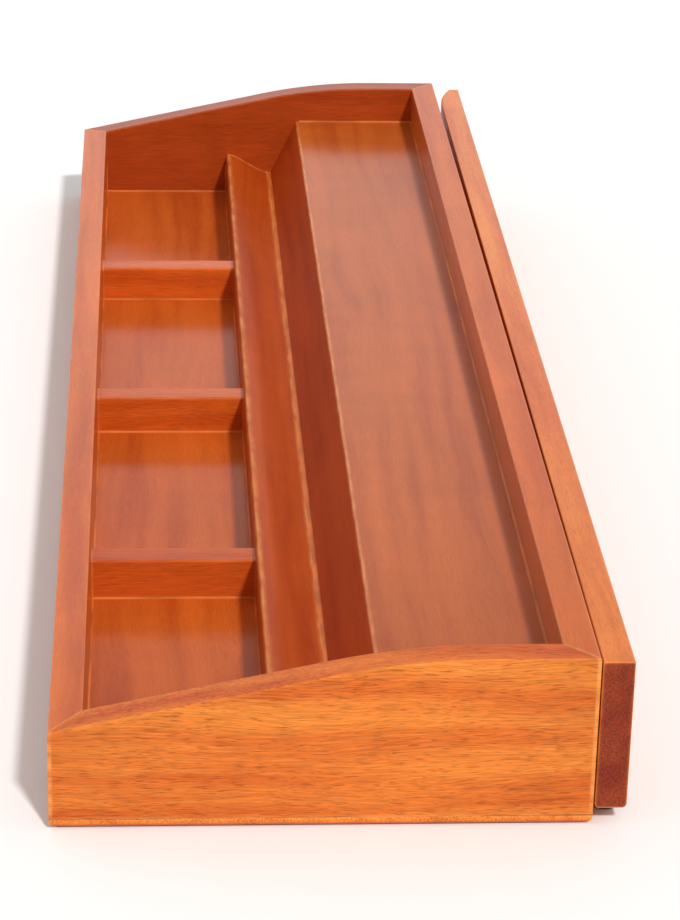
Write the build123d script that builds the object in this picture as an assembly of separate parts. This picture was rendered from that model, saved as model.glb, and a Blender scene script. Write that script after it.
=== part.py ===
from build123d import *
from math import atan2, cos, degrees, radians, sin, tan
import os

# A tabletop rack for playing tiles. Millimetres, +Z up. X runs along the rack, with the pivot end
# at -X. The player sits at -Y, on the low side. The pusher arm lies along the high side, at +Y.
# The origin is the bottom centre of the whole thing, arm included.

# ---- driving dimensions -----------------------------------------------------------------------
RACK_LENGTH = 457.0
RACK_DEPTH = 125.3
BOARD = 8.0                   # thickness of the four frame boards and of the dividers
FRONT_HEIGHT = 25.2           # outer arris of the low front rail
BACK_HEIGHT = 43.2            # flat top of the high back rail
INCLINE_END = 64.0            # distance from the front where the end panel's straight incline stops
INCLINE_ANGLE = 12.3          # degrees
ARRIS = 0.5                   # small rounding on the long wood edges

BASE_RIM = 2.8                # thickness of the base board under the frame
BASE_RAISE = 1.6              # how far its middle stands up inside the frame
BASE_ROUND = 2.5              # rounding of its lower edges
FLOOR = BASE_RIM + BASE_RAISE

DIVIDER_COUNT = 3
DIVIDER_TOP = 15.3
DIVIDER_ROUND = 0.6

LEDGE_FRONT = 51.0            # upright front face of the ledge block, from the front of the rack
LEDGE_TOP = 18.8
LIP_ROUND = 1.0               # rounding of the ledge's front arris
ROLL_MIDDLE = (3.6, 0.9)      # back from the ledge front and down from its top: half way over the roll,
ROLL_END = (6.6, 2.7)         # where the roll meets the slope,
SLOPE_MIDDLE = (11.0, 5.6)    # and half way down the hollow slope
GROOVE_DEPTH_FROM_FRONT = 66.7
GROOVE_HEIGHT = 11.7
BACKREST_TILT = 25.8          # degrees from upright
BACKREST_BOARD = 6.0
SHELF_HEIGHT = 30.8
SHELF_BOARD = 6.0
SHELF_ROUND = 0.8
CLEAT = 8.0

ARM_THICKNESS = 7.5
ARM_LENGTH = 452.0
ARM_BOTTOM = 4.0
ARM_TOP = 42.3
ARM_GAP_FREE = 0.35           # between arm and back rail at the free end
ARM_GAP_PIVOT = 1.5           # and at the pivot end
ARM_LOWER_ROUND = 1.5
RELIEF_LENGTH = 18.0          # swing relief on the arm's inner pivot-end corner
RELIEF_DEPTH = 4.0
PIVOT_FROM_END = 8.0

PLATE_THICKNESS = 1.5
PLATE_LIFT = 0.2
PLATE_TOP = PLATE_LIFT + PLATE_THICKNESS
PLATE_LEG_LENGTH = 48.5
PLATE_LEG_WIDTH = 10.5
PLATE_TAB_WIDTH = 10.0
PLATE_LEG_REACH = 1.0         # how far the leg stands out behind the back rail
PLATE_TAB_INSET = 0.5         # how far the tab stops short of the arm's outer face
PLATE_CORNER = 1.5
PLATE_CLEARANCE = 0.2

PLATE_SCREW_SHANK = 3.0
PLATE_SCREW_HEAD = 5.6
PLATE_SCREW_LENGTH = 16.0
PLATE_SCREW_COUNT = 3
PLATE_SCREW_SPACING = 13.0
PLATE_SCREW_START = 11.5      # from the pivot to the first plate screw

PIVOT_SHANK = 2.5
PIVOT_HEAD = 4.7
PIVOT_SCREW_LENGTH = 10.6
PIVOT_RUNNING_CLEARANCE = 0.05
THRUST_CLEARANCE = 0.1
WASHER_DIAMETER = 6.0
INSERT_DIAMETER = 4.0
INSERT_LENGTH = 7.0
INSERT_HOLE_EXTRA = 0.4       # drilled deeper than the insert is long
SLOT_WIDTH = 0.7
SLOT_DEPTH = 0.5
SLOT_CUT = 2 * PIVOT_HEAD     # long enough to cross every screw head

GLIDE_DIAMETER = 7.0
GLIDE_FROM_END = 10.5
GLIDE_STEM = 3.0
GLIDE_STEM_LENGTH = 6.0
GLIDE_ROUND = 0.7

# ---- places worked out from them ----------------------------------------------------------------
OVERALL_DEPTH = RACK_DEPTH + ARM_GAP_PIVOT + ARM_THICKNESS
FRONT_Y = -OVERALL_DEPTH / 2
BACK_Y = FRONT_Y + RACK_DEPTH
END_X = RACK_LENGTH / 2
INNER_X = END_X - BOARD
SLOPE = tan(radians(INCLINE_ANGLE))
INCLINE_TOP = FRONT_HEIGHT + INCLINE_END * SLOPE
CREST_RADIUS = (BACK_HEIGHT - INCLINE_TOP) / (1 - cos(radians(INCLINE_ANGLE)))
CREST_LENGTH = CREST_RADIUS * sin(radians(INCLINE_ANGLE))
LEAN = tan(radians(BACKREST_TILT))

ARM_TURN = -degrees(atan2(ARM_GAP_PIVOT - ARM_GAP_FREE, ARM_LENGTH))
PIVOT_GAP = ARM_GAP_PIVOT - (ARM_GAP_PIVOT - ARM_GAP_FREE) * PIVOT_FROM_END / ARM_LENGTH
PIVOT_X = END_X - ARM_LENGTH + PIVOT_FROM_END
PIVOT_Y = BACK_Y + PIVOT_GAP + ARM_THICKNESS / 2
WASHER_TOP = ARM_BOTTOM
WASHER_BOTTOM = PLATE_TOP + THRUST_CLEARANCE

PLATE_X = PIVOT_X - PLATE_TAB_WIDTH / 2
PLATE_LEG_Y = BACK_Y + PLATE_LEG_REACH - PLATE_LEG_WIDTH
PLATE_TAB_END = BACK_Y + ARM_GAP_PIVOT + ARM_THICKNESS - PLATE_TAB_INSET
PLATE_SCREW_Y = BACK_Y - BOARD / 2
PLATE_SCREW_X = PIVOT_X + PLATE_SCREW_START


# ---- helpers -------------------------------------------------------------------------------------
def depth(distance):
    """Y of a point given as its distance from the front of the rack."""
    return FRONT_Y + distance


def along_length(outline, x_start, x_end):
    """A closed outline drawn in Y and Z, extruded along X."""
    profile = Plane.YZ.offset(x_start) * make_face(outline)
    return extrude(profile, amount=x_end - x_start)


def polygon(*points):
    return Polyline(*points, close=True)


def upright_block(outline, z_start, z_end):
    """A closed outline drawn in X and Y, extruded upwards."""
    return extrude(Plane.XY.offset(z_start) * make_face(outline), amount=z_end - z_start)


def box_between(low, high):
    size = [top - bottom for bottom, top in zip(low, high)]
    centre = [(top + bottom) / 2 for bottom, top in zip(low, high)]
    return Pos(*centre) * Box(*size)


def rod(x, y, z_start, z_end, diameter):
    return Pos(x, y, (z_start + z_end) / 2) * Cylinder(diameter / 2, z_end - z_start)


def sunk_head(x, y, z_face, head, shank, clearance=0.0):
    """The cone of a 90 degree countersunk head whose flat face looks down at z_face."""
    height = (head - shank) / 2
    cone = Cone(head / 2 + clearance, shank / 2 + clearance, height)
    return Pos(x, y, z_face + height / 2) * cone


def driver_slot(x, y, z_face):
    slot = Box(SLOT_CUT, SLOT_WIDTH, SLOT_DEPTH)
    return Pos(x, y, z_face + SLOT_DEPTH / 2) * slot


def top_edges(solid, along):
    """The edges of a solid's highest face that run parallel to an axis."""
    return solid.faces().sort_by(Axis.Z)[-1].edges().filter_by(along)


# ---- frame ----------------------------------------------------------------------------------------
def rail_plan(outer_y, inner_y):
    """Plan of a rail with a mitre at both ends."""
    return polygon((-END_X, outer_y), (END_X, outer_y), (INNER_X, inner_y), (-INNER_X, inner_y))


def front_rail():
    outer, inner = depth(0), depth(BOARD)
    section = polygon(
        (outer, BASE_RIM), (outer, FRONT_HEIGHT), (inner, FRONT_HEIGHT + BOARD * SLOPE), (inner, BASE_RIM)
    )
    board = along_length(section, -END_X, END_X)
    long_edges = board.edges().filter_by(Axis.X).sort_by(Axis.Z)[-2:]
    return fillet(long_edges, ARRIS) & upright_block(rail_plan(outer, inner), 0, BACK_HEIGHT)


def back_rail():
    outer, inner = BACK_Y, BACK_Y - BOARD
    board = box_between((-END_X, inner, BASE_RIM), (END_X, outer, BACK_HEIGHT))
    board = fillet(top_edges(board, Axis.X), ARRIS) & upright_block(rail_plan(outer, inner), 0, BACK_HEIGHT)
    for x in plate_screw_places():
        board -= rod(x, PLATE_SCREW_Y, 0, PLATE_LIFT + PLATE_SCREW_LENGTH, PLATE_SCREW_SHANK)
    return board


def end_panel(side):
    """One mitred end of the frame: a straight incline, then a wide arc up to the level of the back."""
    front_foot = (depth(0), BASE_RIM)
    front_top = (depth(0), FRONT_HEIGHT)
    incline_top = (depth(INCLINE_END), INCLINE_TOP)
    crest_middle = (
        depth(INCLINE_END + CREST_LENGTH - CREST_RADIUS * sin(radians(INCLINE_ANGLE / 2))),
        BACK_HEIGHT - CREST_RADIUS * (1 - cos(radians(INCLINE_ANGLE / 2))),
    )
    crest_end = (depth(INCLINE_END + CREST_LENGTH), BACK_HEIGHT)
    back_top = (BACK_Y, BACK_HEIGHT)
    back_foot = (BACK_Y, BASE_RIM)
    outline = (
        Line(front_foot, front_top)
        + Line(front_top, incline_top)
        + ThreePointArc(incline_top, crest_middle, crest_end)
        + Line(crest_end, back_top)
        + Line(back_top, back_foot)
        + Line(back_foot, front_foot)
    )
    board = along_length(outline, INNER_X, END_X)
    sloping_and_level = board.edges() - board.edges().filter_by(Axis.X) - board.edges().filter_by(Axis.Z)
    top_arrises = [edge for edge in sloping_and_level if edge.center().Z > FRONT_HEIGHT]
    board = fillet(top_arrises, ARRIS)
    plan = polygon(
        (END_X, depth(0)), (END_X, BACK_Y), (INNER_X, BACK_Y - BOARD), (INNER_X, depth(BOARD))
    )
    board = board & upright_block(plan, 0, BACK_HEIGHT)
    return board if side > 0 else mirror(board, Plane.YZ)


def base_board():
    rim = box_between((-END_X, FRONT_Y, 0), (END_X, BACK_Y, BASE_RIM))
    rim = fillet(rim.faces().sort_by(Axis.Z)[0].edges(), BASE_ROUND)
    middle = box_between((-INNER_X, depth(BOARD), BASE_RIM), (INNER_X, BACK_Y - BOARD, FLOOR))
    board = rim + middle - upright_block(plate_outline(PLATE_CLEARANCE), 0, PLATE_TOP)
    for x in plate_screw_places():
        board -= rod(x, PLATE_SCREW_Y, 0, FLOOR, PLATE_SCREW_SHANK)
    return board


# ---- inside the frame -----------------------------------------------------------------------------
def divider(number):
    """Cross boards that part the front into equal compartments, counted from the pivot end."""
    clear_length = 2 * INNER_X - DIVIDER_COUNT * BOARD
    compartment = clear_length / (DIVIDER_COUNT + 1)
    x_start = -INNER_X + number * compartment + (number - 1) * BOARD
    board = box_between(
        (x_start, depth(BOARD), FLOOR), (x_start + BOARD, depth(LEDGE_FRONT), DIVIDER_TOP)
    )
    return fillet(top_edges(board, Axis.Y), DIVIDER_ROUND)


def backrest_foot():
    """Distance from the front at which the tilted backrest face reaches the compartment floor."""
    return GROOVE_DEPTH_FROM_FRONT - (GROOVE_HEIGHT - FLOOR) * LEAN


def backrest_top():
    return GROOVE_DEPTH_FROM_FRONT + (SHELF_HEIGHT - GROOVE_HEIGHT) * LEAN


def ledge_block():
    """The bar that the tiles stand on: a rolled front lip, then a slope down to the groove."""
    foot = (depth(LEDGE_FRONT), FLOOR)
    lip = (depth(LEDGE_FRONT), LEDGE_TOP)
    roll_middle, roll_end, slope_middle = (
        (depth(LEDGE_FRONT + back), LEDGE_TOP - down) for back, down in (ROLL_MIDDLE, ROLL_END, SLOPE_MIDDLE)
    )
    groove = (depth(GROOVE_DEPTH_FROM_FRONT), GROOVE_HEIGHT)
    heel = (depth(backrest_foot()), FLOOR)
    outline = (
        Line(foot, lip)
        + ThreePointArc(lip, roll_middle, roll_end)
        + ThreePointArc(roll_end, slope_middle, groove)
        + Line(groove, heel)
        + Line(heel, foot)
    )
    block = along_length(outline, -INNER_X, INNER_X)
    lip_edge = block.edges().filter_by(Axis.X).sort_by(Axis.Z)[-1]
    return fillet(lip_edge, LIP_ROUND)


def mitre_corner():
    """The inner corner where the backs of the backrest and shelf boards meet on their mitre."""
    offset = BACKREST_BOARD / cos(radians(BACKREST_TILT))
    height = SHELF_HEIGHT - SHELF_BOARD
    face_here = GROOVE_DEPTH_FROM_FRONT + (height - GROOVE_HEIGHT) * LEAN
    return (depth(face_here + offset), height)


def backrest_board():
    foot_width = BACKREST_BOARD / cos(radians(BACKREST_TILT))
    outline = polygon(
        (depth(backrest_foot()), FLOOR),
        (depth(backrest_top()), SHELF_HEIGHT),
        mitre_corner(),
        (depth(backrest_foot() + foot_width), FLOOR),
    )
    return along_length(outline, -INNER_X, INNER_X) & below_shelf_arris()


def shelf_board():
    outline = polygon(
        (depth(backrest_top()), SHELF_HEIGHT),
        (BACK_Y - BOARD, SHELF_HEIGHT),
        (BACK_Y - BOARD, SHELF_HEIGHT - SHELF_BOARD),
        mitre_corner(),
    )
    return along_length(outline, -INNER_X, INNER_X) & below_shelf_arris()


def below_shelf_arris():
    """A bar that covers the backrest and the shelf and rounds the arris where they meet."""
    outline = polygon(
        (depth(backrest_foot()), FLOOR),
        (depth(backrest_top()), SHELF_HEIGHT),
        (BACK_Y, SHELF_HEIGHT),
        (BACK_Y, FLOOR),
    )
    bar = along_length(outline, -INNER_X, INNER_X)
    return fillet(top_edges(bar, Axis.X).sort_by(Axis.Y)[0], SHELF_ROUND)


def shelf_cleat():
    top = SHELF_HEIGHT - SHELF_BOARD
    inner = BACK_Y - BOARD
    return box_between((-INNER_X, inner - CLEAT, top - CLEAT), (INNER_X, inner, top))


# ---- pusher arm -----------------------------------------------------------------------------------
def on_arm(shape):
    """Places a shape drawn with the pivot at the origin and the arm along X."""
    return Pos(PIVOT_X, PIVOT_Y, 0) * Rot(0, 0, ARM_TURN) * shape


def pusher_arm():
    inner, outer = -ARM_THICKNESS / 2, ARM_THICKNESS / 2
    tail = -PIVOT_FROM_END
    free_end = ARM_LENGTH - PIVOT_FROM_END
    relief_start = (tail + RELIEF_LENGTH, inner)
    relief_end = (tail, inner + RELIEF_DEPTH)
    outline = (
        TangentArc(relief_start, relief_end, tangent=(-1, 0))
        + Line(relief_end, (tail, outer))
        + Line((tail, outer), (free_end, outer))
        + Line((free_end, outer), (free_end, inner))
        + Line((free_end, inner), relief_start)
    )
    board = upright_block(outline, ARM_BOTTOM, ARM_TOP)
    board = fillet(board.edges().filter_by(Axis.Z).sort_by(Axis.X)[-2:], ARRIS)
    board = fillet(board.faces().sort_by(Axis.Z)[-1].edges(), ARRIS)
    lower = board.faces().sort_by(Axis.Z)[0].edges().filter_by(Axis.X).sort_by(Axis.Y)[-1]
    board = fillet(lower, ARM_LOWER_ROUND)
    board -= rod(0, 0, 0, ARM_BOTTOM + INSERT_LENGTH + INSERT_HOLE_EXTRA, INSERT_DIAMETER)
    board -= rod(free_end - GLIDE_FROM_END, 0, 0, ARM_BOTTOM + GLIDE_STEM_LENGTH, GLIDE_STEM)
    return on_arm(board)


def arm_glide():
    """The button under the free end that carries the arm over the table."""
    place = ARM_LENGTH - PIVOT_FROM_END - GLIDE_FROM_END
    button = rod(place, 0, 0, ARM_BOTTOM, GLIDE_DIAMETER)
    button = fillet(button.edges().filter_by(GeomType.CIRCLE).sort_by(Axis.Z)[0], GLIDE_ROUND)
    return on_arm(button + rod(place, 0, ARM_BOTTOM, ARM_BOTTOM + GLIDE_STEM_LENGTH, GLIDE_STEM))


def pivot_insert():
    sleeve = rod(0, 0, ARM_BOTTOM, ARM_BOTTOM + INSERT_LENGTH, INSERT_DIAMETER)
    return on_arm(sleeve - rod(0, 0, 0, BACK_HEIGHT, PIVOT_SHANK))


def pivot_washer():
    disc = rod(0, 0, WASHER_BOTTOM, WASHER_TOP, WASHER_DIAMETER)
    return on_arm(disc - rod(0, 0, 0, BACK_HEIGHT, PIVOT_SHANK))


def pivot_screw():
    face = PLATE_LIFT
    screw = rod(0, 0, face, face + PIVOT_SCREW_LENGTH, PIVOT_SHANK)
    screw += sunk_head(0, 0, face, PIVOT_HEAD, PIVOT_SHANK)
    return on_arm(screw - driver_slot(0, 0, face))


# ---- pivot plate ----------------------------------------------------------------------------------
def plate_screw_places():
    return [PLATE_SCREW_X + number * PLATE_SCREW_SPACING for number in range(PLATE_SCREW_COUNT)]


def plate_outline(margin=0.0):
    """An L in plan: a leg under the back rail and a tab out under the arm."""
    left = PLATE_X - margin
    right = PLATE_X + PLATE_LEG_LENGTH + margin
    tab_right = PLATE_X + PLATE_TAB_WIDTH + margin
    near = PLATE_LEG_Y - margin
    leg_far = PLATE_LEG_Y + PLATE_LEG_WIDTH + margin
    tab_far = PLATE_TAB_END + margin
    return polygon(
        (left, near),
        (right, near),
        (right, leg_far),
        (tab_right, leg_far),
        (tab_right, tab_far),
        (left, tab_far),
    )


def pivot_plate():
    plate = upright_block(plate_outline(), PLATE_LIFT, PLATE_TOP)
    plate = fillet(plate.edges().filter_by(Axis.Z), PLATE_CORNER)
    for x in plate_screw_places():
        plate -= rod(x, PLATE_SCREW_Y, 0, FLOOR, PLATE_SCREW_SHANK)
        plate -= sunk_head(x, PLATE_SCREW_Y, PLATE_LIFT, PLATE_SCREW_HEAD, PLATE_SCREW_SHANK)
    bore = PIVOT_SHANK + 2 * PIVOT_RUNNING_CLEARANCE
    plate -= rod(PIVOT_X, PIVOT_Y, 0, FLOOR, bore)
    plate -= sunk_head(PIVOT_X, PIVOT_Y, PLATE_LIFT, PIVOT_HEAD, PIVOT_SHANK, THRUST_CLEARANCE)
    return plate


def plate_screw(number):
    x = plate_screw_places()[number - 1]
    face = PLATE_LIFT
    screw = rod(x, PLATE_SCREW_Y, face, face + PLATE_SCREW_LENGTH, PLATE_SCREW_SHANK)
    screw += sunk_head(x, PLATE_SCREW_Y, face, PLATE_SCREW_HEAD, PLATE_SCREW_SHANK)
    return screw - driver_slot(x, PLATE_SCREW_Y, face)


# ---- build ----------------------------------------------------------------------------------------
def all_parts():
    parts = {
        "base_board": base_board(),
        "front_rail": front_rail(),
        "back_rail": back_rail(),
        "left_end_panel": end_panel(-1),
        "right_end_panel": end_panel(1),
        "ledge_block": ledge_block(),
        "backrest_board": backrest_board(),
        "shelf_board": shelf_board(),
        "shelf_cleat": shelf_cleat(),
        "pusher_arm": pusher_arm(),
        "arm_glide": arm_glide(),
        "pivot_insert": pivot_insert(),
        "pivot_washer": pivot_washer(),
        "pivot_screw": pivot_screw(),
        "pivot_plate": pivot_plate(),
    }
    for number in range(1, DIVIDER_COUNT + 1):
        parts[f"divider_{number}"] = divider(number)
    for number in range(1, PLATE_SCREW_COUNT + 1):
        parts[f"plate_screw_{number}"] = plate_screw(number)
    return parts


os.makedirs("parts", exist_ok=True)
for name, shape in all_parts().items():
    export_step(shape, f"parts/{name}.step")
    print(name, round(shape.volume, 1))
print("pivot at", round(PIVOT_X, 3), round(PIVOT_Y, 3), "overall depth", OVERALL_DEPTH)
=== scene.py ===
"""Looks for a wooden tile rack with a swinging pusher arm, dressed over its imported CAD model."""

import math

import bpy
from mathutils import Matrix, Vector, noise


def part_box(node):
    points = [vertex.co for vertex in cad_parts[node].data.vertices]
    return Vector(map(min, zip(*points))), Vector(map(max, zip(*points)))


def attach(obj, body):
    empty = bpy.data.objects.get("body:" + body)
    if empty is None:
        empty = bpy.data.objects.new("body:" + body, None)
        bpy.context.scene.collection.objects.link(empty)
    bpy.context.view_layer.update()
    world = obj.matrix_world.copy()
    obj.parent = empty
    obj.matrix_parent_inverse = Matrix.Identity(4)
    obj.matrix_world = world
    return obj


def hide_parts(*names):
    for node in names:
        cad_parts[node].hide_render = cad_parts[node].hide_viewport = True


bl_info = {
    "name": "Tile Rack Finish",
    "version": (1, 0, 0),
    "blender": (4, 5, 0),
    "location": "View3D > Sidebar > Tile Rack",
    "description": "Stained acacia, lacquer beads, pivot fittings and a studio stage for a tile rack",
    "category": "Object",
}

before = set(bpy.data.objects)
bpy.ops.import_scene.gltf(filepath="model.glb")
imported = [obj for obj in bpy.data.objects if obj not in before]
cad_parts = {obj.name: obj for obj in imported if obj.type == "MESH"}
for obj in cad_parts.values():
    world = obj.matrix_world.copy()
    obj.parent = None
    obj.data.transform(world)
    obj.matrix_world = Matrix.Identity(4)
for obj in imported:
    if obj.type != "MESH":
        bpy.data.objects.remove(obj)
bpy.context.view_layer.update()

MM = 0.001
ACROSS = {"X": "Y", "Y": "X"}           # the level direction across the grain

# waves in the grain: length, width and swing in millimetres
GRAIN_WAVES = ((80, 25, 9), (14, 7, 0.9))
# slow changes of tone over a board: length and width in millimetres, detail, and depth
BLOTCHES = ((10, 34, 2.0, 0.035), (80, 30, 1.0, 0.07))

# the ledge's rolled top, as distances in millimetres back from its front face and down from its height
LEDGE_TOP = (
    (0, 1.0), (0.25, 0.3), (0.8, 0.02), (2.4, 0.45), (4.6, 1.5),
    (7.4, 3.2), (10.2, 4.85), (13.0, 6.1), (15.7, 6.95),
)
LEDGE_STEPS = 5                         # points drawn between two of those
LEDGE_SECTIONS = 110                    # cross-sections along its length
LEDGE_WAVER = 0.12 * MM                 # height of the waver left by hand sanding
WAVER_LENGTH = 30 * MM                  # its length along the ledge
WAVER_WIDTH = 4                         # and across it, in millimetres

BEAD_ARC_STEPS = 6
BEAD_STEP = 3 * MM                      # length between two cross-sections of a bead
BEAD_WOBBLES = ((0.2, 9), (0.15, 2.5))  # share of the radius, and length in millimetres
UPRIGHT_BEAD = 0.7                      # a bead up a corner is this much of one along the floor
ARRIS_CLEARANCE = 1 * MM                # beads stop this far short of a rounded arris

FLOOR_REACH = 4.0
FLOOR_DROP = 0.05 * MM                  # keeps the floor clear of the rack's underside
KEY_PLACE = Vector((0.68, 0.25, 0.72))  # the way the key light comes from


def linear(hex_colour):
    """An sRGB hex colour as linear red, green and blue."""
    channels = [int(hex_colour[start:start + 2], 16) / 255 for start in (0, 2, 4)]
    return tuple(c / 12.92 if c <= 0.04045 else ((c + 0.055) / 1.055) ** 2.4 for c in channels)


def colour_property(name, description, hex_colour):
    return bpy.props.FloatVectorProperty(
        name=name, description=description, default=linear(hex_colour), subtype="COLOR", size=3,
        min=0, max=1,
    )


def length_property(name, description, millimetres):
    return bpy.props.FloatProperty(
        name=name, description=description, default=millimetres * MM, unit="LENGTH", min=0, precision=5
    )


def angle_property(name, description, degrees):
    return bpy.props.FloatProperty(
        name=name, description=description, default=math.radians(degrees), subtype="ANGLE"
    )


def strength_property(name, description, strength):
    return bpy.props.FloatProperty(
        name=name, description=description, default=strength, subtype="FACTOR", min=0, soft_max=5
    )


# ---- settings --------------------------------------------------------------------------------------
class RackColours(bpy.types.PropertyGroup):
    """Colours of the wood, its lacquer and the fittings."""

    orange_light: colour_property("Orange light", "Pale bands of the lightly stained boards", "DA8134")
    orange_mid: colour_property("Orange mid", "Body colour of the lightly stained boards", "CC6D2A")
    orange_dark: colour_property("Orange dark", "Late bands of the lightly stained boards", "C05A20")
    red_light: colour_property("Red light", "Pale bands of the deeply stained boards", "C65F20")
    red_mid: colour_property("Red mid", "Body colour of the deeply stained boards", "BE591B")
    red_dark: colour_property("Red dark", "Late bands of the deeply stained boards", "B04A16")
    pore: colour_property("Pore", "Stain gathered in the open pores", "6A260E")
    # pale arris colour: wood sanded through, and also a painted highlight along the ledge's ridge
    worn_and_highlight: colour_property("Worn arris", "Wood sanded through to at the arrises", "F2A45C")
    bead: colour_property("Lacquer bead", "Lacquer pooled in the inner corners", "C8682B")
    zinc: colour_property("Zinc", "Plating of the plate and screws", "A9ABAE")
    brass: colour_property("Brass", "Threaded insert", "C9A25B")
    nylon: colour_property("Nylon", "Spacer washer", "E4DFD2")
    rubber: colour_property("Rubber", "Glide under the arm's free end", "4A2412")


class RackSizes(bpy.types.PropertyGroup):
    """Real sizes of the grain and of the small details."""

    band_width: length_property("Band width", "Width of a growth band", 7.0)
    band_length: length_property("Band length", "Length over which a band changes", 140.0)
    fibre_width: length_property("Fibre width", "Width of a fibre streak", 0.36)
    fibre_length: length_property("Fibre length", "Length of a fibre streak", 12.0)
    pore_width: length_property("Pore width", "Width of an open pore", 0.24)
    pore_length: length_property("Pore length", "Length of an open pore", 4.0)
    joint_line: length_property("Joint line", "Width of the stain in the joint over the base board", 0.35)
    groove_bead: length_property("Groove bead", "Radius of the cove along the tile groove", 1.0)
    corner_bead: length_property("Corner bead", "Radius of the lacquer in the other inner corners", 0.5)


class StageSettings(bpy.types.PropertyGroup):
    """Camera, lights and floor."""

    lens: bpy.props.FloatProperty(
        name="Lens", description="Focal length", default=121.24, min=10, subtype="DISTANCE_CAMERA"
    )
    heading: angle_property("Heading", "Turn of the view off the rack's length", 3.825)
    dip: angle_property("Dip", "How far the view looks down", 23.304)
    roll: angle_property("Roll", "Tilt of the camera about its view", 1.412)
    place: bpy.props.FloatVectorProperty(
        name="Place", description="Where the camera stands", default=(0.84892, -0.04385, 0.36009),
        subtype="TRANSLATION",
    )
    key: strength_property("Key", "Strength of the light over the free end", 2.35)
    key_spread: angle_property("Key spread", "How wide the key light looks", 5)
    room: strength_property("Room", "Brightness of the pale room", 0.57)
    backdrop: strength_property("Backdrop", "Extra brightness of the wall behind", 0.66)
    floor: colour_property("Floor", "Matt pale floor", "F6F5F3")


# ---- shader helpers --------------------------------------------------------------------------------
def add(tree, kind, inputs=None, **settings):
    """Adds a node, sets its properties, and fills its live sockets from values, sockets or whole nodes."""
    made = tree.nodes.new(kind)
    for name, value in settings.items():
        setattr(made, name, value)
    live = [socket for socket in made.inputs if socket.enabled]
    for key, value in (inputs or {}).items():
        socket = live[key] if isinstance(key, int) else next(each for each in live if each.name == key)
        if isinstance(value, bpy.types.Node):
            value = next(each for each in value.outputs if each.enabled)
        if isinstance(value, bpy.types.NodeSocket):
            tree.links.new(value, socket)
        else:
            socket.default_value = value
    return made


def new_material(name):
    """An empty node material and its output node."""
    material = bpy.data.materials.new(name)
    material.use_nodes = True
    material.node_tree.nodes.clear()
    return material, material.node_tree, add(material.node_tree, "ShaderNodeOutputMaterial")


def opaque(colour):
    return (*colour, 1.0)


def scaled(colour, factor):
    return tuple(min(1.0, channel * factor) for channel in colour)


def dress(node, material):
    """Gives a CAD node one material."""
    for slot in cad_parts[node].material_slots:
        slot.material = material


def shape(name, points, faces, material, body=None):
    """A mesh piece with one material, which rides on a body of the rack."""
    mesh = bpy.data.meshes.new(name)
    mesh.from_pydata(points, [], faces)
    mesh.validate()
    mesh.materials.append(material)
    piece = bpy.data.objects.new(name, mesh)
    bpy.context.scene.collection.objects.link(piece)
    if body:
        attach(piece, body)
    return piece


# ---- wood ------------------------------------------------------------------------------------------
def grain_streaks(tree, place, length, width, detail=2.0):
    """Noise drawn out along the grain: length and width are the real size of one streak."""
    stretched = add(
        tree, "ShaderNodeVectorMath",
        {0: place, 1: (1 / length, 1 / width, 1 / width)}, operation="MULTIPLY",
    )
    return add(tree, "ShaderNodeTexNoise", {"Vector": stretched, "Scale": 1.0, "Detail": detail})


def grain_places(tree, coordinates, along, offset):
    """Places in a board turned so that the grain runs along the first number: plain, and wavered."""
    split = add(tree, "ShaderNodeSeparateXYZ", {0: coordinates.outputs["Object"]})
    turned = add(
        tree, "ShaderNodeCombineXYZ",
        {0: split.outputs[along], 1: split.outputs[ACROSS[along]], 2: split.outputs["Z"]},
    )
    plain = add(tree, "ShaderNodeVectorMath", {0: turned, 1: offset}, operation="ADD")
    wavered = plain
    for length, width, swing in GRAIN_WAVES:
        wave = grain_streaks(tree, plain, length * MM, width * MM, 1.0)
        centred = add(
            tree, "ShaderNodeVectorMath", {0: wave.outputs["Color"], 1: (-0.5, -0.5, -0.5)}, operation="ADD"
        )
        wavered = add(
            tree, "ShaderNodeVectorMath",
            {0: centred, 1: (0, swing * MM, swing * MM), 2: wavered}, operation="MULTIPLY_ADD",
        )
    return plain, wavered


class Board:
    """How one board was cut and finished."""

    def __init__(
        self, along, offset, tones, stain_and_shade=(1, 1, 1), pores=0.18, fibres=0.05, end=(0.5, 0.4, 0.5),
        wear_and_highlight=0.4, wear_and_highlight_reach=0.8, gloss=0.7, satin=0.18, top=(1, 1, 1),
    ):
        self.along = along                  # the way its grain runs
        self.offset = offset                # where in the tree it was sawn
        self.tones = tones                  # light, middle and dark of its bands
        self.stain_and_shade = stain_and_shade                  # colour factor on those: its coat of stain, and on some boards painted shade
        self.pores = pores                  # how dark its pores are
        self.fibres = fibres                # how strongly its fibres show
        self.end = end                      # colour factor on its end grain: darker where stain soaked in, paler on the base board as a painted highlight
        self.wear_and_highlight = wear_and_highlight                    # how far its arrises are paled: sanded-through wear, and on the ledge a painted highlight
        self.wear_and_highlight_reach = wear_and_highlight_reach        # width of that, in millimetres
        self.gloss = gloss                  # how full its lacquer is
        self.satin = satin                  # and how rough
        self.top = top                      # colour factor on its upward faces: painted light, paler and bluer for a sheen, darker for shade


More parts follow.
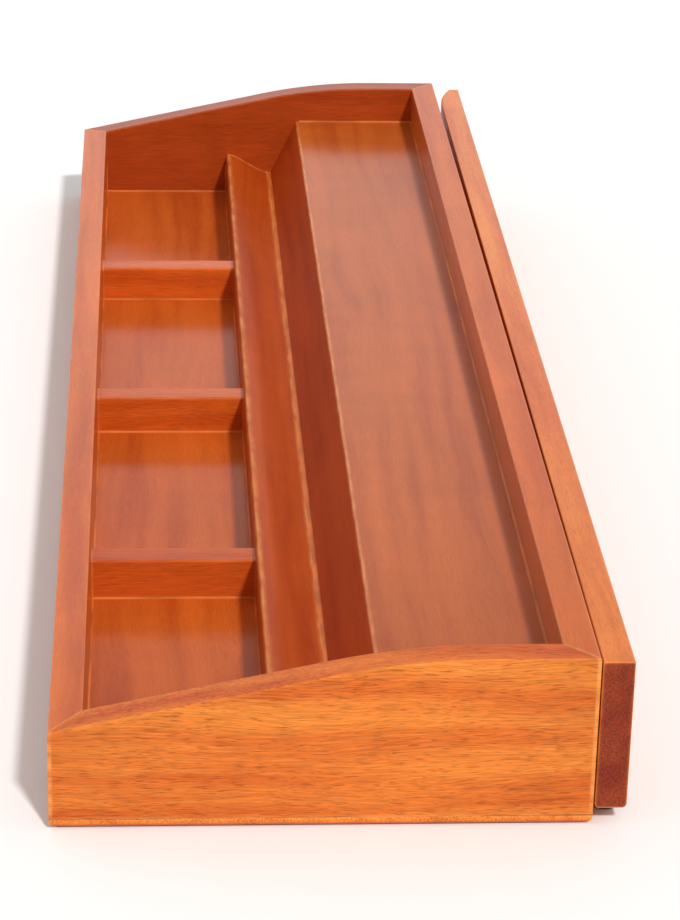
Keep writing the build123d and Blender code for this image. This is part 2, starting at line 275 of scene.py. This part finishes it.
def wood_body(tree, board, plain, wavered):
    """Bands, fibres and stain of the bare board, with the painted shade some boards carry in their stain
    factor, and the band value itself.
    """
    sizes = bpy.context.scene.rack_sizes
    light, middle, dark = (opaque(tone) for tone in board.tones)
    band = grain_streaks(tree, wavered, sizes.band_length, sizes.band_width, 3.0)
    early = add(tree, "ShaderNodeMapRange", {"Value": band, "From Min": 0.34, "From Max": 0.54})
    late = add(tree, "ShaderNodeMapRange", {"Value": band, "From Min": 0.52, "From Max": 0.70})
    body = add(tree, "ShaderNodeMix", {0: early, "A": light, "B": middle}, data_type="RGBA")
    body = add(tree, "ShaderNodeMix", {0: late, "A": body, "B": dark}, data_type="RGBA")
    shade = None
    for place, length, width, detail, depth in (
        (wavered, sizes.fibre_length, sizes.fibre_width, 3.0, board.fibres),
        (wavered, 0.6 * sizes.fibre_length, 0.55 * sizes.fibre_width, 1.0, board.fibres),
        *((plain, length * MM, width * MM, detail, depth) for length, width, detail, depth in BLOTCHES),
    ):
        streak = grain_streaks(tree, place, length, width, detail)
        level = add(
            tree, "ShaderNodeMapRange",
            {"Value": streak, "From Min": 0.3, "From Max": 0.7, "To Min": 1 - depth, "To Max": 1 + depth},
        )
        if shade is None:
            shade = level
        else:
            shade = add(tree, "ShaderNodeMath", {0: shade, 1: level}, operation="MULTIPLY")
    # the board's colour factor: its stain, and on the backrest, far end panel and ledge painted shade
    stained = add(tree, "ShaderNodeVectorMath", {0: body, 1: board.stain_and_shade}, operation="MULTIPLY")
    return add(tree, "ShaderNodeVectorMath", {0: stained, "Scale": shade}, operation="SCALE"), band


def open_pores(tree, board, wavered, band):
    """How far each place lies in an open pore; pores crowd in the late bands."""
    sizes = bpy.context.scene.rack_sizes
    pore = grain_streaks(tree, wavered, sizes.pore_length, sizes.pore_width, 1.0)
    crowding = add(
        tree, "ShaderNodeMapRange",
        {"Value": band, "From Min": 0.35, "From Max": 0.65, "To Min": 0.0, "To Max": 0.05},
    )
    level = add(tree, "ShaderNodeMath", {0: pore, 1: crowding}, operation="ADD")
    return add(
        tree, "ShaderNodeMapRange",
        {"Value": level, "From Min": 0.60, "From Max": 0.72, "To Min": 0.0, "To Max": board.pores},
    )


def worn_and_highlit_arrises(tree, board, plain):
    """How far the colour is paled on an arris, for sanded-through wear and, on the ledge's ridge, a painted
    highlight: strongest on an arris, and broken along it.
    """
    buried = add(
        tree, "ShaderNodeAmbientOcclusion", {"Distance": board.wear_and_highlight_reach * MM},
        inside=True, only_local=True, samples=6,
    )
    edge = add(
        tree, "ShaderNodeMapRange",
        {
            "Value": buried.outputs["AO"], "From Min": 0.92, "From Max": 0.5,
            "To Min": 0.0, "To Max": board.wear_and_highlight,
        },
    )
    patches = grain_streaks(tree, plain, 9 * MM, 3 * MM, 3.0)
    broken = add(
        tree, "ShaderNodeMapRange",
        {"Value": patches, "From Min": 0.38, "From Max": 0.62, "To Min": 0.3, "To Max": 1.0},
    )
    return add(tree, "ShaderNodeMath", {0: edge, 1: broken}, operation="MULTIPLY")


def joint_stain(tree, coordinates, plain):
    """Stain held in the fine joint between the frame and the base board, lost here and there."""
    sizes = bpy.context.scene.rack_sizes
    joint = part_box("front_rail")[0].z
    split = add(tree, "ShaderNodeSeparateXYZ", {0: coordinates.outputs["Object"]})
    above = add(tree, "ShaderNodeMath", {0: split.outputs["Z"], 1: joint}, operation="SUBTRACT")
    off = add(tree, "ShaderNodeMath", {0: above}, operation="ABSOLUTE")
    line = add(
        tree, "ShaderNodeMapRange",
        {
            "Value": off, "From Min": 0.8 * sizes.joint_line, "From Max": 0.3 * sizes.joint_line,
            "To Min": 0.0, "To Max": 0.85,
        },
    )
    gaps = grain_streaks(tree, plain, 40 * MM, 40 * MM, 2.0)
    kept = add(tree, "ShaderNodeMapRange", {"Value": gaps, "From Min": 0.38, "From Max": 0.5})
    return add(tree, "ShaderNodeMath", {0: line, 1: kept}, operation="MULTIPLY")


def stained_acacia(name, board):
    """Acacia, planed, wiped with a red-brown stain and sprayed with satin nitrocellulose lacquer.

    The eye gets warm bands, short dark pores along the grain, dark ends where the stain soaked in, pale
    arrises where it was sanded through, and a soft white reflection from the lacquer at a low angle.
    Some light is painted into the colour: upward faces tinted as a sheen on the rails and as shade on the
    end panel, some boards darkened as shade, paler ends on the base board as a highlight, and a painted
    highlight along the ledge's ridge.
    """
    colours = bpy.context.scene.rack_colours
    material, tree, output = new_material(name)
    coordinates = add(tree, "ShaderNodeTexCoord")
    plain, wavered = grain_places(tree, coordinates, board.along, board.offset)
    body, band = wood_body(tree, board, plain, wavered)
    pores = open_pores(tree, board, wavered, band)
    surfaced = add(
        tree, "ShaderNodeMix", {0: pores, "A": body, "B": opaque(colours.pore)}, data_type="RGBA"
    )

    facing = add(tree, "ShaderNodeSeparateXYZ", {0: coordinates.outputs["Normal"]})
    squareness = add(tree, "ShaderNodeMath", {0: facing.outputs[board.along]}, operation="ABSOLUTE")
    sawn = add(tree, "ShaderNodeMapRange", {"Value": squareness, "From Min": 0.75, "From Max": 0.95})
    vessels = grain_streaks(tree, plain, 3 * MM, 0.5 * MM, 2.0)
    speckle = add(
        tree, "ShaderNodeMapRange",
        {"Value": vessels, "From Min": 0.35, "From Max": 0.65, "To Min": 0.72, "To Max": 1.28},
    )
    # end grain takes the board's end factor: darker where the stain soaked in, paler on the base board as a
    # painted highlight
    soak_and_highlight = add(tree, "ShaderNodeVectorMath", {0: surfaced, 1: board.end}, operation="MULTIPLY")
    speckled = add(tree, "ShaderNodeVectorMath", {0: soak_and_highlight, "Scale": speckle}, operation="SCALE")
    ended = add(tree, "ShaderNodeMix", {0: sawn, "A": surfaced, "B": speckled}, data_type="RGBA")
    # upward faces take the board's top factor, painted light: a sheen where it pales them, shade where it
    # darkens them
    upward = add(
        tree, "ShaderNodeMapRange", {"Value": facing.outputs["Z"], "From Min": 0.5, "From Max": 0.8}
    )
    painted_top_light = add(tree, "ShaderNodeVectorMath", {0: ended, 1: board.top}, operation="MULTIPLY")
    edged = add(tree, "ShaderNodeMix", {0: upward, "A": ended, "B": painted_top_light}, data_type="RGBA")

    line = joint_stain(tree, coordinates, plain)
    jointed = add(
        tree, "ShaderNodeMix", {0: line, "A": edged, "B": opaque(colours.pore)}, data_type="RGBA"
    )
    wear_and_highlight = worn_and_highlit_arrises(tree, board, plain)
    finished = add(
        tree, "ShaderNodeMix", {0: wear_and_highlight, "A": jointed, "B": opaque(colours.worn_and_highlight)}, data_type="RGBA"
    )

    sunk = add(tree, "ShaderNodeMath", {0: pores, 1: -1.0}, operation="MULTIPLY")
    pitted = add(tree, "ShaderNodeBump", {"Height": sunk, "Strength": 0.5, "Distance": 0.05 * MM})
    swell = grain_streaks(tree, plain, 16 * MM, 9 * MM, 2.0)
    flowed = add(tree, "ShaderNodeBump", {"Height": swell, "Strength": 0.5, "Distance": 0.06 * MM})
    surface = add(
        tree, "ShaderNodeBsdfPrincipled",
        {
            "Base Color": finished,
            "Roughness": 0.55,
            "IOR": 1.5,
            "Specular IOR Level": 0.05,
            "Normal": pitted,
            "Coat Weight": board.gloss,
            "Coat Roughness": board.satin,
            "Coat IOR": 1.33,
            "Coat Normal": flowed,
        },
    )
    tree.links.new(surface.outputs[0], output.inputs["Surface"])
    return material


def pooled_lacquer():
    """Nitrocellulose lacquer run into a corner over thin stain: paler than the boards beside it."""
    bead = bpy.context.scene.rack_colours.bead
    material, tree, output = new_material("nitrocellulose_lacquer_bead")
    coordinates = add(tree, "ShaderNodeTexCoord")
    cloud = add(
        tree, "ShaderNodeTexNoise",
        {"Vector": coordinates.outputs["Object"], "Scale": 1 / (14 * MM), "Detail": 3.0},
    )
    depth = add(tree, "ShaderNodeMapRange", {"Value": cloud, "From Min": 0.35, "From Max": 0.65})
    colour = add(
        tree, "ShaderNodeMix",
        {0: depth, "A": opaque(scaled(bead, 0.7)), "B": opaque(scaled(bead, 1.15))}, data_type="RGBA",
    )
    ripple = add(tree, "ShaderNodeBump", {"Height": cloud, "Strength": 0.5, "Distance": 0.05 * MM})
    surface = add(
        tree, "ShaderNodeBsdfPrincipled",
        {
            "Base Color": colour,
            "Roughness": 0.5,
            "Specular IOR Level": 0.1,
            "Normal": ripple,
            "Coat Weight": 0.15,
            "Coat Roughness": 0.3,
            "Coat IOR": 1.4,
        },
    )
    tree.links.new(surface.outputs[0], output.inputs["Surface"])
    return material


# ---- fittings --------------------------------------------------------------------------------------
def worked_metal(name, colour, roughness, mark_length):
    """Bright metal with fine rolling or turning marks, which spread its highlights along one way."""
    material, tree, output = new_material(name)
    coordinates = add(tree, "ShaderNodeTexCoord")
    marks = grain_streaks(tree, coordinates.outputs["Object"], mark_length, 0.15 * MM, 3.0)
    cloud = add(
        tree, "ShaderNodeTexNoise",
        {"Vector": coordinates.outputs["Object"], "Scale": 1 / (4 * MM), "Detail": 4.0},
    )
    patch = add(tree, "ShaderNodeMapRange", {"Value": cloud, "From Min": 0.35, "From Max": 0.65})
    tint = add(
        tree, "ShaderNodeMix",
        {0: patch, "A": opaque(scaled(colour, 0.72)), "B": opaque(colour)}, data_type="RGBA",
    )
    dullness = add(
        tree, "ShaderNodeMapRange",
        {
            "Value": cloud, "From Min": 0.3, "From Max": 0.7,
            "To Min": roughness - 0.06, "To Max": roughness + 0.1,
        },
    )
    relief = add(tree, "ShaderNodeBump", {"Height": marks, "Strength": 0.4, "Distance": 0.01 * MM})
    surface = add(
        tree, "ShaderNodeBsdfPrincipled",
        {"Base Color": tint, "Metallic": 1.0, "Roughness": dullness, "Normal": relief},
    )
    tree.links.new(surface.outputs[0], output.inputs["Surface"])
    return material


def moulded_plastic(name, colour, roughness, grit):
    """A moulded part with a fine tooling texture and slightly uneven colour."""
    material, tree, output = new_material(name)
    coordinates = add(tree, "ShaderNodeTexCoord")
    texture = add(
        tree, "ShaderNodeTexNoise",
        {"Vector": coordinates.outputs["Object"], "Scale": 1 / grit, "Detail": 3.0},
    )
    cloud = add(
        tree, "ShaderNodeTexNoise", {"Vector": coordinates.outputs["Object"], "Scale": 1 / (3 * MM)}
    )
    patch = add(tree, "ShaderNodeMapRange", {"Value": cloud, "From Min": 0.35, "From Max": 0.65})
    tint = add(
        tree, "ShaderNodeMix",
        {0: patch, "A": opaque(scaled(colour, 0.8)), "B": opaque(colour)}, data_type="RGBA",
    )
    relief = add(tree, "ShaderNodeBump", {"Height": texture, "Strength": 0.4, "Distance": 0.03 * MM})
    surface = add(
        tree, "ShaderNodeBsdfPrincipled", {"Base Color": tint, "Roughness": roughness, "Normal": relief}
    )
    tree.links.new(surface.outputs[0], output.inputs["Surface"])
    return material


# ---- drawn-out pieces ------------------------------------------------------------------------------
def tube_faces(first, ring_count, ring_size):
    """Faces of a closed bar whose rings start at one point number."""
    faces = []
    for row in range(ring_count - 1):
        low = first + row * ring_size
        high = low + ring_size
        for column in range(ring_size):
            following = (column + 1) % ring_size
            faces.append((low + column, low + following, high + following, high + column))
    last = first + (ring_count - 1) * ring_size
    faces.append(tuple(reversed(range(first, first + ring_size))))
    faces.append(tuple(range(last, last + ring_size)))
    return faces


def smooth_sides(piece, corner):
    """Smooth shading that stays crisp where two faces meet at more than the corner's degrees."""
    mesh = piece.data
    for polygon in mesh.polygons:
        polygon.use_smooth = True
    mesh.set_sharp_from_angle(angle=math.radians(corner))


def bead_rings(start, end, side_a, side_b, radius):
    """Cross-sections of a bead: the corner itself, then a hollow arc from one wall to the other."""
    along = end - start
    count = max(2, int(along.length / BEAD_STEP))
    turning = 1 if side_a.cross(side_b).dot(along) > 0 else -1
    rings = []
    for index in range(count + 1):
        corner = start + along * index / count
        wobble = sum(share * noise.noise(corner / (length * MM)) for share, length in BEAD_WOBBLES)
        reach = radius * (1 + wobble)
        ring = [corner.copy()]
        for step in range(BEAD_ARC_STEPS + 1):
            turn = math.pi / 2 * step / BEAD_ARC_STEPS
            across_a, across_b = reach * (1 - math.sin(turn)), reach * (1 - math.cos(turn))
            ring.append(corner + side_a * across_a + side_b * across_b)
        rings.append(ring if turning > 0 else ring[::-1])
    return rings


def make_beads(name, runs, material):
    """One piece of closed beads, each given as its corner line, its two walls and its radius."""
    points, faces = [], []
    for run in runs:
        rings = bead_rings(*run)
        faces += tube_faces(len(points), len(rings), len(rings[0]))
        for ring in rings:
            points += ring
    piece = shape(name, points, faces, material, "rack")
    smooth_sides(piece, 50)
    return piece


def groove_run(radius):
    """The corner where the tile ledge meets the tilted backrest."""
    low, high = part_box("ledge_block")
    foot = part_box("backrest_board")[0]
    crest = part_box("shelf_board")
    rise = Vector((0, crest[0].y - foot.y, crest[1].z - foot.z))
    corner = Vector((0, high.y, foot.z + (high.y - foot.y) * rise.z / rise.y))
    up = rise.normalized()
    last, before = (Vector((0, back, -down)) for back, down in LEDGE_TOP[:-3:-1])
    out = (before - last).normalized()
    return [(Vector((low.x, 0, 0)) + corner, Vector((high.x, 0, 0)) + corner, out, up, radius)]


def shelf_runs(radius):
    """The shelf's back corner and its two ends."""
    low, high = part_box("shelf_board")
    level = Vector((0, 0, high.z))
    up, front = Vector((0, 0, 1)), Vector((0, -1, 0))
    left, right = Vector((low.x, 0, 0)), Vector((high.x, 0, 0))
    back_line = Vector((0, high.y, 0)) + level
    front_line = Vector((0, low.y + ARRIS_CLEARANCE, 0)) + level
    return [
        (left + back_line, right + back_line, front, up, radius),
        (left + front_line, left + back_line, Vector((1, 0, 0)), up, radius),
        (right + front_line, right + back_line, Vector((-1, 0, 0)), up, radius),
    ]


def compartment_runs(radius):
    """Round the floor of each compartment, and up its four corners."""
    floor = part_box("base_board")[1].z
    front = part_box("front_rail")[1].y
    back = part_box("ledge_block")[0].y
    edges = [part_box("left_end_panel")[1].x]
    for number in (1, 2, 3):
        low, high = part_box(f"divider_{number}")
        edges += [low.x, high.x]
    edges.append(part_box("right_end_panel")[0].x)
    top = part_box("divider_1")[1].z - ARRIS_CLEARANCE
    up, inward, outward = Vector((0, 0, 1)), Vector((0, 1, 0)), Vector((0, -1, 0))
    runs = []
    for left, right in zip(edges[0::2], edges[1::2]):
        for y, side in ((front, inward), (back, outward)):
            runs.append((Vector((left, y, floor)), Vector((right, y, floor)), side, up, radius))
        for x, side in ((left, Vector((1, 0, 0))), (right, Vector((-1, 0, 0)))):
            runs.append((Vector((x, front, floor)), Vector((x, back, floor)), side, up, radius))
            for y, other in ((front, inward), (back, outward)):
                runs.append((Vector((x, y, floor)), Vector((x, y, top)), side, other, radius * UPRIGHT_BEAD))
    return runs


def rolled_curve():
    """Points of a smooth curve through the ledge's rolled top."""
    knots = [Vector(knot) for knot in LEDGE_TOP]
    knots = [2 * knots[0] - knots[1], *knots, 2 * knots[-1] - knots[-2]]
    curve = []
    for before, start, end, after in zip(knots, knots[1:], knots[2:], knots[3:]):
        for step in range(LEDGE_STEPS):
            t = step / LEDGE_STEPS
            sway = (end - before) * t + (2 * before - 5 * start + 4 * end - after) * t ** 2
            curve.append(start + (sway + (3 * start - before - 3 * end + after) * t ** 3) / 2)
    return curve + [knots[-2]]


def make_ledge(material):
    """The bar the tiles stand on, with the soft roll and the slight waver of a hand-sanded edge."""
    low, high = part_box("ledge_block")
    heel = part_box("backrest_board")[0].y
    curve = rolled_curve()
    rings = []
    for section in range(LEDGE_SECTIONS + 1):
        x = low.x + (high.x - low.x) * section / LEDGE_SECTIONS
        ring = [Vector((x, low.y, low.z))]
        for back, down in curve:
            waver = LEDGE_WAVER * noise.noise(Vector((x / WAVER_LENGTH, back / WAVER_WIDTH, 0)))
            ring.append(Vector((x, low.y + back * MM, min(high.z, high.z - down * MM + waver))))
        ring[-1].z = high.z - curve[-1].y * MM
        ring.append(Vector((x, heel, low.z)))
        rings.append(ring[::-1])
    points = [point for ring in rings for point in ring]
    faces = tube_faces(0, len(rings), len(rings[0]))
    piece = shape("ledge_rolled", points, faces, material, "rack")
    smooth_sides(piece, 40)
    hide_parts("ledge_block")
    return piece


# ---- operators -------------------------------------------------------------------------------------
def orange_tones(context):
    colours = context.scene.rack_colours
    return colours.orange_light, colours.orange_mid, colours.orange_dark


def red_tones(context):
    colours = context.scene.rack_colours
    return colours.red_light, colours.red_mid, colours.red_dark


class RACK_OT_frame_boards(bpy.types.Operator):
    """Finishes the four frame boards and the base board."""

    bl_idname = "rack.frame_boards"
    bl_label = "Frame Boards"

    def execute(self, context):
        orange, red = orange_tones(context), red_tones(context)
        for node, board in (
            (
                "right_end_panel",
                Board(
                    "Y", (0.31, 0.02, 0.11), orange, stain_and_shade=(1.03, 1.0, 1.0), pores=0.5, fibres=0.15,
                    # top: the upper edge darker and redder than the lit end face, painted shade
                    wear_and_highlight=0.6, wear_and_highlight_reach=0.8, gloss=0.35, top=(0.95, 0.76, 0.8),
                ),
            ),
            (
                "left_end_panel",
                # far end panel darkened: painted shade on its inner face
                Board("Y", (0.87, 0.33, 0.52), red, stain_and_shade=(0.68, 0.46, 0.45), fibres=0.12),
            ),
            (
                "front_rail",
                # top: the rail's top paler and bluer, a painted sheen
                Board("X", (1.43, 0.25, 0.34), red, stain_and_shade=(1.03, 0.95, 0.8), top=(1.15, 1.24, 1.37)),
            ),
            (
                "back_rail",
                # top: the rail's top paler and bluer, a painted sheen
                Board("X", (2.36, 0.71, 0.18), red, stain_and_shade=(1.04, 0.98, 0.8), top=(1.04, 1.1, 1.25)),
            ),
            (
                "base_board",
                Board(
                    # end: the base board's end faces paler and bluer, a painted highlight
                    "X", (3.12, 0.46, 0.63), red, stain_and_shade=(0.99, 0.92, 0.86), end=(1.45, 2.15, 2.4), gloss=0.62
                ),
            ),
        ):
            dress(node, stained_acacia(f"acacia_stained_{node}", board))
        return {"FINISHED"}


class RACK_OT_inner_boards(bpy.types.Operator):
    """Finishes the dividers, the backrest, the shelf and its cleat."""

    bl_idname = "rack.inner_boards"
    bl_label = "Inner Boards"

    def execute(self, context):
        red = red_tones(context)
        for number, stain_and_shade in ((1, (1.15, 0.98, 0.8)), (2, (1.06, 0.92, 0.8)), (3, (0.95, 0.78, 0.75))):
            offset = (0.41 * number, 0.17 * number, 0.29 * number)
            board = Board("Y", offset, red, stain_and_shade=stain_and_shade, fibres=0.12, wear_and_highlight=0.5)
            dress(f"divider_{number}", stained_acacia(f"acacia_stained_divider_{number}", board))
        for node, offset, stain_and_shade, gloss in (
            # backrest darkened: painted shade on its face turned from the light
            ("backrest_board", (1.20, 0.39, 0.54), (0.78, 0.48, 0.36), 0.4),
            ("shelf_board", (1.87, 0.78, 0.85), (0.88, 0.90, 0.9), 0.7),
            ("shelf_cleat", (2.54, 1.17, 1.16), (0.9, 0.8, 0.8), 0.7),
        ):
            board = Board("X", offset, red, stain_and_shade=stain_and_shade, pores=0.15, wear_and_highlight=0.5, gloss=gloss)
            dress(node, stained_acacia(f"acacia_stained_{node}", board))
        return {"FINISHED"}


class RACK_OT_tile_ledge(bpy.types.Operator):
    """Shapes and finishes the ledge that the tiles stand on."""

    bl_idname = "rack.tile_ledge"
    bl_label = "Tile Ledge"

    def execute(self, context):
        board = Board(
            # ledge darkened: a deeper stain that also paints in shade
            "X", (0.53, 0.0, 0.23), red_tones(context), stain_and_shade=(0.82, 0.60, 0.46), pores=0.15,
            # strong, wide arris paling: the pale band along the ridge is a painted highlight as well as wear
            wear_and_highlight=0.95, wear_and_highlight_reach=2.0, gloss=0.3, satin=0.3,
        )
        make_ledge(stained_acacia("acacia_stained_ledge", board))
        return {"FINISHED"}


class RACK_OT_lacquer_beads(bpy.types.Operator):
    """Runs beads of pooled lacquer along the inner corners."""

    bl_idname = "rack.lacquer_beads"
    bl_label = "Lacquer Beads"

    def execute(self, context):
        sizes = context.scene.rack_sizes
        lacquer = pooled_lacquer()
        make_beads("groove_bead", groove_run(sizes.groove_bead), lacquer)
        make_beads("shelf_beads", shelf_runs(sizes.corner_bead), lacquer)
        make_beads("compartment_beads", compartment_runs(sizes.corner_bead), lacquer)
        return {"FINISHED"}


class RACK_OT_pusher_arm(bpy.types.Operator):
    """Finishes the pusher arm and the glide under its free end."""

    bl_idname = "rack.pusher_arm"
    bl_label = "Pusher Arm"

    def execute(self, context):
        board = Board(
            "X", (4.2, 0.13, 0.77), orange_tones(context), stain_and_shade=(1.06, 0.92, 0.85),
            end=(0.33, 0.17, 0.2), pores=0.3,
        )
        dress("pusher_arm", stained_acacia("acacia_stained_pusher_arm", board))
        rubber = context.scene.rack_colours.rubber
        dress("arm_glide", moulded_plastic("rubber_moulded_brown", rubber, 0.75, 0.25 * MM))
        return {"FINISHED"}


class RACK_OT_pivot_fittings(bpy.types.Operator):
    """Finishes the plate, screws, washer and insert of the pivot."""

    bl_idname = "rack.pivot_fittings"
    bl_label = "Pivot Fittings"

    def execute(self, context):
        colours = context.scene.rack_colours
        zinc = worked_metal("steel_zinc_plated", colours.zinc, 0.34, 12 * MM)
        for node in ("pivot_plate", "plate_screw_1", "plate_screw_2", "plate_screw_3", "pivot_screw"):
            dress(node, zinc)
        dress("pivot_insert", worked_metal("brass_turned", colours.brass, 0.28, 2 * MM))
        dress("pivot_washer", moulded_plastic("nylon_moulded_natural", colours.nylon, 0.45, 0.2 * MM))
        return {"FINISHED"}


class RACK_OT_stage(bpy.types.Operator):
    """Sets the floor, the lights, the pale room and the camera."""

    bl_idname = "rack.stage"
    bl_label = "Stage"

    def execute(self, context):
        settings = context.scene.rack_stage
        make_floor(settings)
        make_lights(settings)
        make_room(settings)
        make_camera(settings)
        context.scene.view_settings.view_transform = "Standard"
        return {"FINISHED"}


# ---- stage -----------------------------------------------------------------------------------------
def make_floor(settings):
    """Seamless matt paper, a little uneven in tone."""
    material, tree, output = new_material("paper_matt_white")
    coordinates = add(tree, "ShaderNodeTexCoord")
    cloud = add(
        tree, "ShaderNodeTexNoise", {"Vector": coordinates.outputs["Object"], "Scale": 3.0, "Detail": 3.0}
    )
    tint = add(
        tree, "ShaderNodeMix",
        {0: cloud, "A": opaque(scaled(settings.floor, 0.98)), "B": opaque(settings.floor)},
        data_type="RGBA",
    )
    surface = add(
        tree, "ShaderNodeBsdfPrincipled", {"Base Color": tint, "Roughness": 0.8, "Specular IOR Level": 0.2}
    )
    tree.links.new(surface.outputs[0], output.inputs["Surface"])
    corners = [
        (x * FLOOR_REACH, y * FLOOR_REACH, -FLOOR_DROP) for x, y in ((-1, -1), (1, -1), (1, 1), (-1, 1))
    ]
    shape("floor", corners, [(0, 1, 2, 3)], material)


def make_lights(settings):
    """A distant key light, high over the arm's free end and a little on the arm's side."""
    key = bpy.data.lights.new("key_light", "SUN")
    key.energy = settings.key
    key.angle = settings.key_spread
    holder = bpy.data.objects.new("key_light", key)
    holder.location = KEY_PLACE
    holder.rotation_euler = (-KEY_PLACE).to_track_quat("-Z", "Y").to_euler()
    bpy.context.scene.collection.objects.link(holder)


def make_room(settings):
    """A pale room: brightest low down behind the pivot end, and a little brighter on the player's side."""
    world = bpy.data.worlds.new("pale_room")
    bpy.context.scene.world = world
    world.use_nodes = True
    tree = world.node_tree
    tree.nodes.clear()
    way = add(tree, "ShaderNodeTexCoord")
    split = add(tree, "ShaderNodeSeparateXYZ", {0: way.outputs["Generated"]})
    top = add(
        tree, "ShaderNodeMapRange",
        {"Value": split.outputs["Z"], "From Min": 0.40, "From Max": 0.46, "To Min": 1.0, "To Max": 0.0},
    )
    foot = add(
        tree, "ShaderNodeMapRange",
        {"Value": split.outputs["Z"], "From Min": 0.08, "From Max": 0.24, "To Min": 0.2, "To Max": 1.0},
    )
    behind = add(
        tree, "ShaderNodeMapRange", {"Value": split.outputs["X"], "From Min": -0.1, "From Max": -0.45}
    )
    lit = add(tree, "ShaderNodeMath", {0: top, 1: foot}, operation="MULTIPLY")
    wall = add(tree, "ShaderNodeMath", {0: lit, 1: behind}, operation="MULTIPLY")
    side = add(
        tree, "ShaderNodeMapRange",
        {"Value": split.outputs["Y"], "From Min": -0.8, "From Max": 0.3, "To Min": 1.15, "To Max": 1.0},
    )
    room = add(tree, "ShaderNodeMath", {0: side, 1: settings.room}, operation="MULTIPLY")
    bright = add(tree, "ShaderNodeMath", {0: wall, 1: settings.backdrop, 2: room}, operation="MULTIPLY_ADD")
    sky = add(tree, "ShaderNodeBackground", {"Color": (1, 1, 1, 1), "Strength": bright})
    output = add(tree, "ShaderNodeOutputWorld")
    tree.links.new(sky.outputs[0], output.inputs["Surface"])


def make_camera(settings):
    lens = bpy.data.cameras.new("camera")
    lens.lens = settings.lens
    lens.sensor_width = 36
    lens.clip_start = 0.01
    camera = bpy.data.objects.new("camera", lens)
    bpy.context.scene.collection.objects.link(camera)
    level = math.cos(settings.dip)
    ahead, aside = level * math.cos(settings.heading), level * math.sin(settings.heading)
    view = Vector((-ahead, aside, -math.sin(settings.dip)))
    turned = view.to_track_quat("-Z", "Y").to_matrix() @ Matrix.Rotation(settings.roll, 3, "Z")
    camera.location = settings.place
    camera.rotation_euler = turned.to_euler()
    bpy.context.scene.camera = camera


class RACK_PT_panel(bpy.types.Panel):
    """Lists the finishing steps and their settings."""

    bl_idname = "RACK_PT_panel"
    bl_label = "Tile Rack"
    bl_space_type = "VIEW_3D"
    bl_region_type = "UI"
    bl_category = "Tile Rack"

    def draw(self, context):
        for operator in OPERATORS:
            self.layout.operator(operator.bl_idname)
        for group in (context.scene.rack_colours, context.scene.rack_sizes, context.scene.rack_stage):
            box = self.layout.box()
            for name in group.__annotations__:
                box.prop(group, name)


OPERATORS = (
    RACK_OT_stage,
    RACK_OT_frame_boards,
    RACK_OT_inner_boards,
    RACK_OT_tile_ledge,
    RACK_OT_lacquer_beads,
    RACK_OT_pusher_arm,
    RACK_OT_pivot_fittings,
)
CLASSES = (RackColours, RackSizes, StageSettings, *OPERATORS, RACK_PT_panel)


def register():
    for cls in CLASSES:
        bpy.utils.register_class(cls)
    bpy.types.Scene.rack_colours = bpy.props.PointerProperty(type=RackColours)
    bpy.types.Scene.rack_sizes = bpy.props.PointerProperty(type=RackSizes)
    bpy.types.Scene.rack_stage = bpy.props.PointerProperty(type=StageSettings)


def unregister():
    del bpy.types.Scene.rack_stage
    del bpy.types.Scene.rack_sizes
    del bpy.types.Scene.rack_colours
    for cls in reversed(CLASSES):
        bpy.utils.unregister_class(cls)


def main():
    register()
    bpy.ops.rack.stage()
    bpy.ops.rack.frame_boards()
    bpy.ops.rack.inner_boards()
    bpy.ops.rack.tile_ledge()
    bpy.ops.rack.lacquer_beads()
    bpy.ops.rack.pusher_arm()
    bpy.ops.rack.pivot_fittings()


if __name__ == "__main__":
    main()
